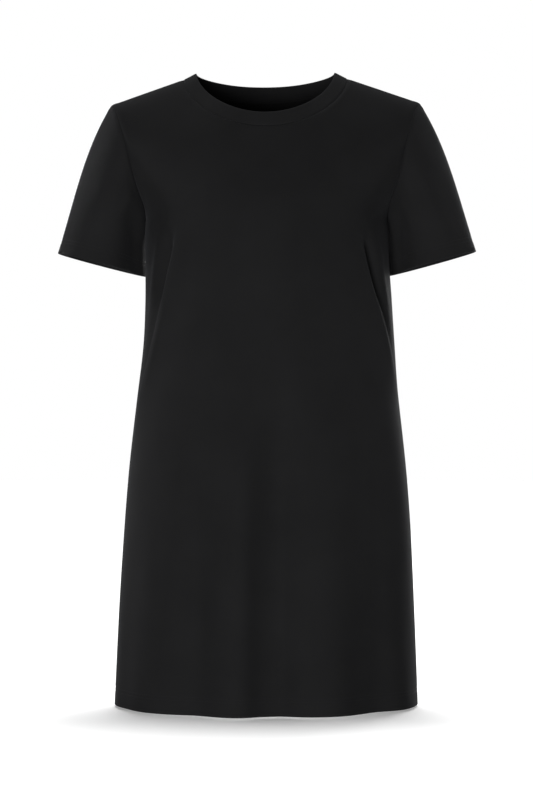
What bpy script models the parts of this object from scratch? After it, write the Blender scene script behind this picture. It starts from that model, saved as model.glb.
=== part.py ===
"""A short-sleeved shift dress, hollow, as it hangs when a figure fills it out.

Metres, +Z up, front towards -Y, wearer's left towards +X. The origin lies midway
between the neck ends of the shoulder seams, where the wearer's shoulders carry the
dress. Side seams and shoulder seams lie in the plane y = 0. Each sewn piece is one
closed wall of cloth, parted from its neighbours by a hairline at the seams.
"""
import math

import bpy
import numpy as np

# ---------------------------------------------------------------- driving sizes
HEM_Z = -0.839  # the dress is 0.84 m long below the neck end of the shoulder seam
CLOTH = 0.0014  # wall of the knit
BAND_CLOTH = 0.0026  # the neckband is doubled
SEAM_GAP = 0.0003  # hairline between two sewn pieces

NECK_HALF = 0.110  # half the width of the neck seam, at the shoulders
NECK_DROP = {"front": 0.072, "back": 0.0215}  # depth of the neck seam at the centre
NECK_CURVE = 1.2  # above 1, the neckline is straighter near the shoulders
BAND_HALF = 0.094  # the band's free edge: half width, and height at the shoulders
BAND_RISE = 0.009
BAND_DROP = {"front": 0.0536, "back": 0.0035}
BAND_PULL_IN = 0.91  # the free edge's depth as a share of the seam's
BAND_PROUD = 0.0006  # how far the band stands out from the panels
# up the band (0 seam, 1 free edge) and how far out its face stands there
BAND_SECTION = ((0.0, -0.2), (0.06, 0.75), (0.5, 1.0), (0.94, 0.75), (1.0, 0.1))

SHOULDER_X, SHOULDER_Z = 0.208, -0.034  # outer end of the shoulder seam
SHOULDER_SLOPE = -SHOULDER_Z / (SHOULDER_X - NECK_HALF)
NECK_RISE = 6.0  # the form climbs towards the neck by this times (distance inside)^2
SHOULDER_ROUND = 0.028  # radius of the form over the shoulder line
SHOULDER_REACH = 0.12  # how far down that rounding shapes the chest
CORNER_POWER = 4  # how closely the form follows the smaller of its two depths

UNDERARM_Z = -0.180
UNDERARM_ROW_Z = -0.215  # the row through the underarm, at centre front
ROW_BEND_Z = -0.48  # below this height the rows are level

SLEEVE_OUTER = (0.2808, -0.004, -0.2325)  # hem corners of the sleeve on the +X side
SLEEVE_INNER = (0.1635, 0.024, -0.2625)
SLEEVE_HALF_DEPTH = 0.052
# the way the cloth leaves the armhole and reaches the sleeve's hem: in general,
# with more added over the arm, under it and at its front
SLEEVE_START = ((0.30, 0.0, -0.88), (0.26, 0.0, 0.0), (0.0, 0.24, 0.0), (0.0, -0.30, 0.0))
SLEEVE_END = ((0.17, 0.0, -1.0), (0.16, 0.0, 0.0), (0.0, 0.20, 0.0), (0.0, 0.03, 0.0))

BLACK = (0.012, 0.012, 0.013)
BAND_BLACK = (0.013, 0.013, 0.014)

# The dress hangs a little off true: how far it leans up towards +X, and shifts
# sideways, at each height. height, rise for each metre of x, shift towards +X
HANG = (
    (HEM_Z, 0.0, -0.0004),
    (-0.700, 0.0, 0.0004),
    (-0.590, 0.0, 0.0014),
    (-0.430, 0.0, 0.0017),
    (-0.300, 0.0030, 0.0012),
    (-0.180, 0.0060, 0.0002),
    (-0.050, 0.0065, -0.0010),
    (0.0, 0.0065, -0.0014),
)

# ---------------------------------------------------------------- how fine it is
LOWER_ROWS = 17  # hem to underarm
UPPER_ROWS = 12  # underarm to shoulder
SLEEVE_ROWS = 9
NECK_COLUMN = 12  # columns from centre front to the shoulder's neck end
SIDE_COLUMN = 20  # columns from centre front to the side seam
DENSE = 3000  # points on a curve before it is cut into equal steps
ROUND_EDGE = 50  # degrees; sharper corners stay crisp

# ---------------------------------------------------------------- the general form
# height, front half width and depth, back half width and depth
FORM = (
    (HEM_Z, 0.2035, 0.1440, 0.2035, 0.1300),
    (-0.700, 0.1976, 0.1395, 0.1976, 0.1265),
    (-0.593, 0.1915, 0.1370, 0.1915, 0.1205),
    (-0.512, 0.1848, 0.1355, 0.1848, 0.1110),
    (-0.431, 0.1756, 0.1347, 0.1756, 0.1010),
    (-0.350, 0.1680, 0.1350, 0.1680, 0.0960),
    (-0.290, 0.1650, 0.1358, 0.1650, 0.0975),
    (-0.235, 0.1636, 0.1345, 0.1636, 0.1020),
    (-0.200, 0.1630, 0.1315, 0.1630, 0.1050),
    (UNDERARM_Z, 0.1630, 0.1288, 0.1630, 0.1062),
    (-0.168, 0.1680, 0.1265, 0.1680, 0.1064),
    (-0.150, 0.1800, 0.1215, 0.1810, 0.1056),
    (-0.125, 0.1975, 0.1130, 0.2000, 0.1022),
    (-0.095, 0.2170, 0.1015, 0.2210, 0.0950),
    (-0.065, 0.2330, 0.0890, 0.2390, 0.0842),
    (-0.034, 0.2430, 0.0750, 0.2500, 0.0705),
    (0.000, 0.2490, 0.0595, 0.2560, 0.0560),
    (0.040, 0.2520, 0.0430, 0.2590, 0.0400),
)
# height and half width of the armhole seam, underarm to shoulder
ARMHOLE = (
    (UNDERARM_Z, 0.1630),
    (-0.173, 0.1642),
    (-0.160, 0.1682),
    (-0.145, 0.1730),
    (-0.125, 0.1784),
    (-0.105, 0.1832),
    (-0.085, 0.1880),
    (-0.068, 0.1925),
    (-0.052, 0.1974),
    (-0.041, 0.2020),
    (SHOULDER_Z, SHOULDER_X),
)

# ---------------------------------------------------------------- the folds
# The long fold from the bust to the side seam. Its crest runs at this share of
# the way from centre front to the side seam; columns of the mesh follow it.
CREST = {
    "left": (  # +X
        (HEM_Z, 0.80), (-0.600, 0.82), (-0.480, 0.87), (-0.420, 0.87),
        (-0.390, 0.845), (-0.359, 0.80), (-0.325, 0.716), (-0.290, 0.634),
        (-0.254, 0.577), (-0.215, 0.532), (UNDERARM_Z, 0.50),
    ),
    "right": (
        (HEM_Z, 0.80), (-0.600, 0.83), (-0.500, 0.865), (-0.423, 0.815),
        (-0.402, 0.781), (-0.360, 0.713), (-0.317, 0.647), (-0.266, 0.573),
        (-0.240, 0.538), (-0.215, 0.510), (UNDERARM_Z, 0.48),
    ),
}
# height, crest height, hollow beside it, outer swell, in metres
CREST_SIZE = {
    "left": (
        (HEM_Z, 0.0, 0.0, 0.0), (-0.450, 0.0, 0.0, 0.0), (-0.400, 0.0030, 0.0, 0.0),
        (-0.340, 0.0048, 0.0012, 0.0004), (-0.290, 0.0046, 0.0040, 0.0020),
        (-0.245, 0.0040, 0.0055, 0.0026), (-0.218, 0.0016, 0.0022, 0.0012),
        (-0.195, 0.0, 0.0, 0.0), (UNDERARM_Z, 0.0, 0.0, 0.0),
    ),
    "right": (
        (HEM_Z, 0.0, 0.0, 0.0), (-0.500, 0.0, 0.0, 0.0), (-0.440, 0.0030, 0.0, 0.0),
        (-0.380, 0.0050, 0.0006, 0.0), (-0.320, 0.0050, 0.0018, 0.0008),
        (-0.275, 0.0048, 0.0046, 0.0022), (-0.240, 0.0040, 0.0056, 0.0026),
        (-0.216, 0.0014, 0.0020, 0.0010), (-0.195, 0.0, 0.0, 0.0),
    ),
}
CREST_INSIDE, CREST_OUTSIDE = 0.13, 0.030  # widths of its flanks, same share
HOLLOW_OFFSET, HOLLOW_WIDTH = 0.058, 0.036
SWELL_OFFSET, SWELL_WIDTH = 0.150, 0.050
# which columns stay beside the crest: first, last, and how far out they lie, as a
# share of the cloth between the crest and the side seam
CREST_COLUMN = 11
INSIDE_STEP = 0.046  # the column before it lies this far towards the centre
OUTSIDE_STEPS = ((12, 0.13), (13, 0.26), (14, 0.40), (15.6, 0.60))

# Flutes of the skirt and soft folds of the back. place is the share of the way from
# the centre (0) to the side seam (+1 towards +X) at the fold's top and foot.
# piece, top, foot, place at top, place at foot, half width, height (in: negative)
FOLDS = (
    ("front", -0.440, HEM_Z, -0.045, -0.030, 0.085, -0.0062),
    ("front", -0.430, HEM_Z, -0.135, -0.175, 0.085, 0.0040),
    ("front", -0.500, HEM_Z, -0.270, -0.330, 0.090, -0.0036),
    ("front", -0.540, HEM_Z, -0.480, -0.540, 0.120, 0.0032),
    ("front", -0.470, HEM_Z, 0.150, 0.200, 0.130, 0.0034),
    ("front", -0.520, HEM_Z, 0.340, 0.430, 0.110, -0.0044),
    ("front", -0.560, HEM_Z, 0.600, 0.680, 0.110, 0.0030),
    ("front", -0.580, HEM_Z, -0.730, -0.760, 0.100, -0.0026),
    ("back", -0.420, HEM_Z, 0.020, 0.060, 0.100, -0.0060),
    ("back", -0.400, HEM_Z, 0.190, 0.260, 0.110, 0.0046),
    ("back", -0.470, HEM_Z, 0.400, 0.480, 0.110, -0.0050),
    ("back", -0.520, HEM_Z, 0.660, 0.720, 0.110, 0.0032),
    ("back", -0.430, HEM_Z, -0.150, -0.190, 0.100, 0.0044),
    ("back", -0.480, HEM_Z, -0.350, -0.410, 0.110, -0.0046),
    ("back", -0.540, HEM_Z, -0.610, -0.680, 0.120, 0.0034),
    ("back", -0.190, -0.430, 0.520, 0.860, 0.090, 0.0046),
    ("back", -0.210, -0.400, 0.680, 0.900, 0.070, -0.0034),
    ("back", -0.180, -0.450, -0.480, -0.840, 0.090, 0.0048),
    ("back", -0.215, -0.410, -0.650, -0.880, 0.070, -0.0036),
    ("back", -0.300, -0.520, 0.130, 0.060, 0.160, -0.0040),
)


FLIP = np.array([-1.0, 1.0, 1.0])  # mirrors points to the other side


# ---------------------------------------------------------------- small helpers
def through(rows, column, at):
    """The smooth curve through a table's column, read at the given first values."""
    order = sorted(rows)
    x = np.array([r[0] for r in order])
    y = np.array([r[column] for r in order])
    step = np.diff(y) / np.diff(x)
    before, after = step[:-1], step[1:]
    same_way = before * after > 0
    middle = np.zeros(len(before))
    middle[same_way] = 2 * before[same_way] * after[same_way] / (before + after)[same_way]
    slope = np.concatenate(([step[0]], middle, [step[-1]]))
    at = np.clip(at, x[0], x[-1])
    i = np.clip(np.searchsorted(x, at) - 1, 0, len(x) - 2)
    width = x[i + 1] - x[i]
    t = (at - x[i]) / width
    return (
        (1 + 2 * t) * (1 - t) ** 2 * y[i]
        + t * (1 - t) ** 2 * width * slope[i]
        + t * t * (3 - 2 * t) * y[i + 1]
        + t * t * (t - 1) * width * slope[i + 1]
    )


def fair(rows, column, at):
    """A fairer curve through a table's column, whose curvature has no steps."""
    order = sorted(rows)
    x = np.array([r[0] for r in order])
    y = np.array([r[column] for r in order])
    h = np.diff(x)
    step = np.diff(y) / h
    system = np.eye(len(x))
    pull = np.zeros(len(x))
    for i in range(1, len(x) - 1):
        system[i, i - 1: i + 2] = h[i - 1], 2 * (h[i - 1] + h[i]), h[i]
        pull[i] = 6 * (step[i] - step[i - 1])
    bend = np.linalg.solve(system, pull)
    at = np.clip(at, x[0], x[-1])
    i = np.clip(np.searchsorted(x, at) - 1, 0, len(x) - 2)
    a, b = x[i + 1] - at, at - x[i]
    return (
        (bend[i] * a ** 3 + bend[i + 1] * b ** 3) / (6 * h[i])
        + (y[i] / h[i] - bend[i] * h[i] / 6) * a
        + (y[i + 1] / h[i] - bend[i + 1] * h[i] / 6) * b
    )


def ease(t):
    t = np.clip(t, 0, 1)
    return t * t * (3 - 2 * t)


def unit(v):
    return v / np.maximum(np.linalg.norm(v, axis=-1, keepdims=True), 1e-12)


def evenly(points, count):
    """A dense line resampled into count steps of equal length."""
    run = np.concatenate(([0], np.cumsum(np.linalg.norm(np.diff(points, axis=0), axis=1))))
    at = np.linspace(0, run[-1], count + 1)
    return np.stack([np.interp(at, run, points[:, k]) for k in range(3)], axis=1)


# ---------------------------------------------------------------- the form
def shoulder_height(x):
    """Height of the line over the shoulder; it climbs on towards the neck."""
    inside = np.maximum(NECK_HALF - x, 0)
    return SHOULDER_SLOPE * (NECK_HALF - x) + NECK_RISE * inside ** 2


def form_size(piece, z):
    """Half width and depth of the form's front or back at a height."""
    column = 3 if piece == "back" else 1
    return fair(FORM, column, z), fair(FORM, column + 1, z)


def form(piece, x, z):
    """The point of the form's front or back at (x, z), for x of zero or more."""
    half_width, depth = form_size(piece, z)
    round_body = depth * np.sqrt(np.maximum(1 - (x / half_width) ** 2, 0))
    drop = np.maximum(shoulder_height(x) - z, 0)
    over_shoulder = np.sqrt(2 * SHOULDER_ROUND * drop) * (1 + (drop / SHOULDER_REACH) ** 2)
    near = np.maximum(np.minimum(round_body, over_shoulder), 1e-9)
    far = np.maximum(np.maximum(round_body, over_shoulder), 1e-9)
    y = near * (1 + (near / far) ** CORNER_POWER) ** (-1 / CORNER_POWER)
    y = np.where(near < 1e-8, 0, y)
    return np.stack([x, y if piece == "back" else -y, z], axis=-1)


def armhole(piece, count):
    """The armhole seam on one panel, underarm to shoulder, in equal steps."""
    p = (1 - np.cos(np.linspace(0, math.pi, DENSE))) / 2
    z = UNDERARM_Z + (SHOULDER_Z - UNDERARM_Z) * p
    line = form(piece, fair(ARMHOLE, 1, z), z)
    line[0, 1] = line[-1, 1] = 0
    return evenly(line, count)


def neck_and_shoulder(piece, neck_steps, shoulder_steps):
    """The top edge of half a panel, centre to shoulder end."""
    turn = np.linspace(0, 1, DENSE) ** 0.5 * math.pi / 2
    drop = NECK_DROP[piece] * np.maximum(np.cos(turn), 0) ** NECK_CURVE
    neck = form(piece, NECK_HALF * np.sin(turn), -drop)
    neck[-1, 1] = 0
    x = np.linspace(NECK_HALF, SHOULDER_X, shoulder_steps + 1)
    shoulder = np.stack([x, 0 * x, shoulder_height(x)], axis=1)
    return np.vstack([evenly(neck, neck_steps), shoulder[1:]])


def column_places(side, z, columns):
    """Shares of the way to the side seam, with a column on the crest and the hollow."""
    crest = through(CREST[side], 1, z)
    places = [(0, 0 * crest), (CREST_COLUMN - 1, crest - INSIDE_STEP), (CREST_COLUMN, crest)]
    places += [(column, crest + share * (1 - crest)) for column, share in OUTSIDE_STEPS]
    places += [(SIDE_COLUMN, 1 + 0 * crest)]
    knots_at = [column for column, _ in places]
    knots = np.stack([place for _, place in places], axis=-1)
    return np.stack([np.interp(columns, knots_at, row) for row in knots])


def rooted(points):
    """Square root of how far each point lies below the shoulder line."""
    return np.sqrt(np.maximum(shoulder_height(points[..., 0]) - points[..., 2], 0))


def half_panel(piece, side, rows_low, rows_up, columns):
    """Half a panel's base points, centre to side, and each point's place across."""
    n = len(columns)
    v = np.linspace(0, 1, rows_low + 1)
    level = HEM_Z + (UNDERARM_ROW_Z - HEM_Z) * v
    bend = (UNDERARM_Z - UNDERARM_ROW_Z) * ease((level - ROW_BEND_Z) / (UNDERARM_ROW_Z - ROW_BEND_Z))
    place = column_places(side, level, columns)
    z = level[:, None] + bend[:, None] * np.maximum(2 * place - 1, 0) ** 2
    half_width, _ = form_size(piece, z)
    low = form(piece, half_width * np.sin(place * math.pi / 2), z)
    low[:, -1, 1] = 0

    start = low[-1]
    neck_steps = int(np.searchsorted(columns, NECK_COLUMN))
    top = neck_and_shoulder(piece, neck_steps, n - 1 - neck_steps)
    arm = armhole(piece, rows_up)
    share = columns / SIDE_COLUMN
    k_start, k_top, k_arm = rooted(start), rooted(top), rooted(arm)
    up = []
    for i in range(1, rows_up + 1):
        t = i / rows_up
        w = 1 - math.sqrt(1 - t)
        x_mend = arm[i, 0] - ((1 - w) * start[-1, 0] + w * top[-1, 0])
        k_mend = k_arm[i] - (1 - t) * k_start[-1]
        x = (1 - w) * start[:, 0] + w * top[:, 0] + share * x_mend
        k = (1 - t) * k_start + t * k_top + share * k_mend
        row = form(piece, x, shoulder_height(x) - k * k)
        row[-1] = arm[i]
        up.append(row)
    up[-1] = top
    points = np.vstack([low, np.array(up)])
    half_width, _ = form_size(piece, points[..., 2])
    across = np.arcsin(np.clip(points[..., 0] / half_width, 0, 1)) / (math.pi / 2)
    across[: rows_low + 1] = place
    return points, across


# ---------------------------------------------------------------- folds
def crest_fold(side, across, z):
    """Height of the long side fold: crest, hollow beside it and swell outside."""
    off = across - through(CREST[side], 1, z)
    size = [through(CREST_SIZE[side], k, z) for k in (1, 2, 3)]
    flank = np.where(off < 0, CREST_INSIDE, CREST_OUTSIDE)
    crest = size[0] * np.exp(-((off / flank) ** 2))
    hollow = size[1] * np.exp(-(((off - HOLLOW_OFFSET) / HOLLOW_WIDTH) ** 2))
    swell = size[2] * np.exp(-(((off - SWELL_OFFSET) / SWELL_WIDTH) ** 2))
    return crest - hollow + swell


def soft_folds(piece, across, z):
    """Sum of the piece's flutes and soft folds; they fade before the side seams."""
    total = 0 * z
    for name, top, foot, place_top, place_foot, width, height in FOLDS:
        if name != piece:
            continue
        down = (top - z) / (top - foot)
        place = place_top + (place_foot - place_top) * np.clip(down, 0, 1)
        grown = ease(down / 0.75) if foot == HEM_Z else ease(down / 0.4) * ease((1 - down) / 0.4)
        total = total + height * grown * np.exp(-(((across - place) / width) ** 2))
    return total * (1 - np.abs(across) ** 8)


def grid_normals(p, turn=1.0):
    """Unit normals of a grid of points, rows by columns."""
    along = np.gradient(p, axis=0)
    over = np.gradient(p, axis=1)
    return unit(turn * np.cross(over, along))


def both_halves(right, left):
    """Two halves, centre to side, joined into one grid from the -X to the +X side."""
    return np.concatenate([right[:, :0:-1], left], axis=1)


def panel(piece, rows_low, rows_up, columns):
    """A whole panel's outer points and their outward normals."""
    halves = {}
    for side in ("left", "right"):
        points, across = half_panel(piece, side, rows_low, rows_up, columns)
        fold = 0 * across
        if piece == "front":
            fold = crest_fold(side, across, points[..., 2]) * (1 - across ** 8)
        halves[side] = (points, across, fold)
    right, left = halves["right"], halves["left"]
    points = both_halves(right[0] * FLIP, left[0])
    across = both_halves(-right[1], left[1])
    fold = both_halves(right[2], left[2]) + soft_folds(piece, across, points[..., 2])
    outward = 1.0 if piece == "front" else -1.0
    points = points + grid_normals(points, outward) * fold[..., None]
    normals = grid_normals(points, outward)
    # side seams and shoulder seams stay in their plane
    shoulder = len(columns) - 1 - int(np.searchsorted(columns, NECK_COLUMN))
    normals[: rows_low + 1, [0, -1], 1] = 0
    normals[-1, : shoulder + 1, 1] = 0
    normals[-1, -shoulder - 1:, 1] = 0
    return points, unit(normals)


# ---------------------------------------------------------------- sleeves
def sleeve(loop, rows):
    """Outer points of the +X sleeve: rows down from the armhole loop to the hem."""
    outer, inner = np.array(SLEEVE_OUTER), np.array(SLEEVE_INNER)
    centre, reach = (outer + inner) / 2, (outer - inner) / 2
    count = len(loop)
    turn = np.arange(count) / count * 2 * math.pi
    hem = (
        centre
        + np.cos(turn)[:, None] * reach
        - np.sin(turn)[:, None] * np.array([0, SLEEVE_HALF_DEPTH, 0])
    )
    top, front = np.cos(turn), np.sin(turn)
    shares = np.stack([1 + 0 * top, top, (1 - top) / 2, front], axis=1)
    start_way = unit(shares @ np.array(SLEEVE_START))
    end_way = unit(shares @ np.array(SLEEVE_END))
    length = np.linalg.norm(hem - loop, axis=1)[:, None]
    t = np.linspace(0, 1, rows + 1)[:, None, None]
    second = loop + start_way * length / 3
    third = hem - end_way * length / 3
    return (
        (1 - t) ** 3 * loop
        + 3 * t * (1 - t) ** 2 * second
        + 3 * t * t * (1 - t) * third
        + t ** 3 * hem
    )


# ---------------------------------------------------------------- building walls
def hung(points):
    """The points as the dress hangs, a little off true."""
    lean = through(HANG, 1, points[:, 2]) * points[:, 0]
    shift = through(HANG, 2, points[:, 2])
    return points + np.stack([shift, 0 * shift, lean], axis=1)


def wall(outer, inner, closed, name, colour):
    """A closed solid between two grids of points; closed joins last column to first."""
    rows, columns = outer.shape[:2]
    vertices = hung(np.vstack([outer.reshape(-1, 3), inner.reshape(-1, 3)]))
    inside = rows * columns
    last = columns if closed else columns - 1
    faces = []

    def rim(a, b):
        """The strip of rim from outer point a to b, cut the same way on both walls."""
        if vertices[a, 2] > vertices[b, 2]:
            faces.append((a, inside + a, inside + b))
            faces.append((a, inside + b, b))
        else:
            faces.append((a, inside + a, b))
            faces.append((inside + a, inside + b, b))

    for r in range(rows - 1):
        for c in range(last):
            a, b = r * columns + c, r * columns + (c + 1) % columns
            d, e = a + columns, b + columns
            faces.append((a, b, e, d))
            faces.append((inside + a, inside + d, inside + e, inside + b))
    for c in range(last):
        after = (c + 1) % columns
        rim(c, after)
        rim(after + (rows - 1) * columns, c + (rows - 1) * columns)
    if not closed:
        for r in range(rows - 1):
            rim((r + 1) * columns, r * columns)
            rim((r + 1) * columns - 1, (r + 2) * columns - 1)
    mesh = bpy.data.meshes.new(name)
    mesh.from_pydata(vertices.tolist(), [], faces)
    mesh.validate()
    mesh.shade_smooth()
    mesh.set_sharp_from_angle(angle=math.radians(ROUND_EDGE))
    piece = bpy.data.objects.new(name, mesh)
    bpy.context.collection.objects.link(piece)
    piece.data.materials.append(cloth_material(name + "_knit", colour))
    return piece


def cloth_material(name, colour):
    material = bpy.data.materials.new(name)
    material.use_nodes = True
    shader = material.node_tree.nodes["Principled BSDF"]
    shader.inputs["Base Color"].default_value = (*colour, 1)
    shader.inputs["Roughness"].default_value = 0.85
    shader.inputs["Metallic"].default_value = 0.0
    return material


def square_back(edge, neighbour, closed=False):
    """Steps of half a hairline from a seam into the piece, square to the seam."""
    if closed:
        along = unit(np.roll(edge, -1, axis=0) - np.roll(edge, 1, axis=0))
    else:
        along = unit(np.gradient(edge, axis=0))
    step = neighbour - edge
    step = step - (step * along).sum(axis=1, keepdims=True) * along
    return unit(step) * SEAM_GAP / 2


def mitred(own, other):
    """The shared direction in which two walls meeting at an angle both thicken."""
    both = unit(own + other)
    stretch = 1 / np.maximum((both * own).sum(axis=1, keepdims=True), 0.5)
    return both * np.minimum(stretch, 1.6)


def build_sleeve(name, panels, arm_rows, column, flip):
    """A sleeve on the armhole loop of both panels: shoulder, front, underarm, back."""
    front, back = (panels[p][0][arm_rows, column] for p in ("front", "back"))
    loop = np.vstack([front[::-1], back[1:-1]]) * flip
    outer = sleeve(loop, SLEEVE_ROWS)
    closed_up = np.concatenate([outer[:, -1:], outer, outer[:, :1]], axis=1)
    normals = grid_normals(closed_up)[:, 1:-1]
    steps = np.arange(UPPER_ROWS + 1)
    meets = {
        "front": (arm_rows.stop - 1 - steps, steps),
        "back": (arm_rows.start + steps, (UPPER_ROWS + steps) % len(loop)),
    }
    for piece, (rows, places) in meets.items():
        own = panels[piece][1][rows, column] * flip
        shared = mitred(own, normals[0, places])
        panels[piece][1][rows, column] = shared * flip
        inside = steps if piece == "front" else steps[1:-1]
        normals[0, places[inside]] = shared[inside]
    outer[0] += square_back(outer[0], outer[1], closed=True)
    inner = outer - normals * CLOTH
    if flip[0] < 0:
        outer, inner = outer[:, ::-1] * flip, inner[:, ::-1] * flip
    wall(outer, inner, True, name, BLACK)


def build_panel(name, outer, normals, arm_rows, neck):
    """A panel whose seam edges stand half a hairline back from their seams."""
    sign = 1.0 if name == "back" else -1.0
    inner = outer - normals * CLOTH
    for points in (outer, inner):
        seam = points[:, :, 1] * sign < SEAM_GAP / 2
        points[seam, 1] = sign * SEAM_GAP / 2
        for column, neighbour in ((0, 1), (-1, -2)):
            points[arm_rows, column] += square_back(
                points[arm_rows, column], points[arm_rows, neighbour])
        points[-1, neck] += square_back(points[-1, neck], points[-2, neck])
    if name == "back":
        outer, inner = outer[:, ::-1], inner[:, ::-1]
    wall(outer, inner, False, name, BLACK)


def build_neckband(front, back):
    """A ring on the neck seam: along the front, then back behind the neck."""
    seam = np.vstack([front, back[-2:0:-1]])
    across = np.clip(seam[:, 0] / NECK_HALF, -1, 1)
    drop = BAND_RISE + np.where(seam[:, 1] < 0, BAND_DROP["front"], BAND_DROP["back"])
    free = np.stack([
        BAND_HALF * across,
        seam[:, 1] * BAND_PULL_IN,
        BAND_RISE - drop * (1 - across ** 2) ** (NECK_CURVE / 2),
    ], axis=1)
    rise = unit(free - seam)
    ring = np.roll(seam, -1, axis=0) - np.roll(seam, 1, axis=0)
    outward = unit(np.cross(ring, rise))
    length = np.linalg.norm(free - seam, axis=1)[:, None] - SEAM_GAP
    foot = seam + rise * SEAM_GAP
    outer, inner = [], []
    for up, out in BAND_SECTION:
        base = foot + rise * length * up
        outer.append(base + outward * (BAND_PROUD * out))
        inner.append(base - outward * (BAND_CLOTH - BAND_PROUD * (2 - out) / 2))
    wall(np.array(outer), np.array(inner), True, "neckband", BAND_BLACK)


def build():
    for thing in list(bpy.data.objects):
        bpy.data.objects.remove(thing)
    columns = np.arange(SIDE_COLUMN + 1)
    panels = {p: panel(p, LOWER_ROWS, UPPER_ROWS, columns) for p in ("front", "back")}
    neck = slice(SIDE_COLUMN - NECK_COLUMN, SIDE_COLUMN + NECK_COLUMN + 1)
    arm_rows = slice(LOWER_ROWS, LOWER_ROWS + UPPER_ROWS + 1)
    front_neck, back_neck = (panels[p][0][-1, neck].copy() for p in ("front", "back"))
    build_sleeve("sleeve_left", panels, arm_rows, -1, np.ones(3))
    build_sleeve("sleeve_right", panels, arm_rows, 0, FLIP)
    for name, (outer, normals) in panels.items():
        build_panel(name, outer, normals, arm_rows, neck)
    build_neckband(front_neck, back_neck)


build()
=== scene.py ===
"""The looks of a black knit shift dress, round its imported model.

Metres, +Z up, front towards -Y, wearer's left towards +X. The shell of every sewn
piece repeats the model's form at a finer grain, with creases, turned hems, seam
ditches, stitching and a jersey knit added.
"""

import math

import bpy
import numpy as np
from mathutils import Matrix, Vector


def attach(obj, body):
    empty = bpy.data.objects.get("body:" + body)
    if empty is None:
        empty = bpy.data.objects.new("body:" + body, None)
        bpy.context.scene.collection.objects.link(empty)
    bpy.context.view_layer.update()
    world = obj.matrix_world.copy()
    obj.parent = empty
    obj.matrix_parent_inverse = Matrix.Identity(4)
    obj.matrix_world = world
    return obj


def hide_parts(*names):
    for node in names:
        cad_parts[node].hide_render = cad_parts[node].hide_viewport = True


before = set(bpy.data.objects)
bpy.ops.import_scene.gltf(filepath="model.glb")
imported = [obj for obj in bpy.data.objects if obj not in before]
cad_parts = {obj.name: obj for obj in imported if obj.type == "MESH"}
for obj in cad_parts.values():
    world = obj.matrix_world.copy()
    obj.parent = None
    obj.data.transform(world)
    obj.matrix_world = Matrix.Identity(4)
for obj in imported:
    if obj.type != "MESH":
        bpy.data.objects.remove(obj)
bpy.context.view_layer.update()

# ---- driving sizes
HEM_Z = -0.839  # the dress is 0.84 m long below the neck end of the shoulder seam
CLOTH = 0.0014  # wall of the knit

NECK_HALF = 0.110  # half the width of the neck seam, at the shoulders
NECK_DROP = {"front": 0.072, "back": 0.0215}  # depth of the neck seam at the centre
NECK_CURVE = 1.2  # above 1, the neckline is straighter near the shoulders
BAND_HALF = 0.094  # the band's free edge: half width, and height at the shoulders
BAND_RISE = 0.009
BAND_DROP = {"front": 0.0536, "back": 0.0035}
BAND_PULL_IN = 0.91  # the free edge's depth as a share of the seam's

SHOULDER_X, SHOULDER_Z = 0.208, -0.034  # outer end of the shoulder seam
SHOULDER_SLOPE = -SHOULDER_Z / (SHOULDER_X - NECK_HALF)
NECK_RISE = 6.0  # the form climbs towards the neck by this times (distance inside)^2
SHOULDER_ROUND = 0.028  # radius of the form over the shoulder line
SHOULDER_REACH = 0.12  # how far down that rounding shapes the chest
CORNER_POWER = 4  # how closely the form follows the smaller of its two depths

UNDERARM_Z = -0.180
UNDERARM_ROW_Z = -0.215  # the row through the underarm, at centre front
ROW_BEND_Z = -0.48  # below this height the rows are level

SLEEVE_OUTER = (0.2808, -0.004, -0.2325)  # hem corners of the sleeve on the +X side
SLEEVE_INNER = (0.1635, 0.024, -0.2625)
SLEEVE_HALF_DEPTH = 0.052
# the way the cloth leaves the armhole and reaches the sleeve's hem: in general,
# with more added over the arm, under it and at its front
SLEEVE_START = ((0.30, 0.0, -0.88), (0.26, 0.0, 0.0), (0.0, 0.24, 0.0), (0.0, -0.30, 0.0))
SLEEVE_END = ((0.17, 0.0, -1.0), (0.16, 0.0, 0.0), (0.0, 0.20, 0.0), (0.0, 0.03, 0.0))

# colour, width of a column of stitches, height of its relief
KNITS = {
    "jersey": ((0.0098, 0.0098, 0.0102), 0.0011, 0.00012),
    "band_jersey": ((0.0106, 0.0106, 0.0110), 0.0010, 0.00014),
}

# The dress hangs a little off true.
# height, rise for each metre of x, shift towards +X
HANG = (
    (HEM_Z, 0.0, -0.0004),
    (-0.700, 0.0, 0.0004),
    (-0.590, 0.0, 0.0014),
    (-0.430, 0.0, 0.0018),
    (-0.350, 0.0018, 0.0034),
    (-0.300, 0.0030, 0.0028),
    (-0.240, 0.0045, 0.0008),
    (-0.180, 0.0060, 0.0002),
    (-0.050, 0.0065, -0.0010),
    (0.0, 0.0065, -0.0014),
)

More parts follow.
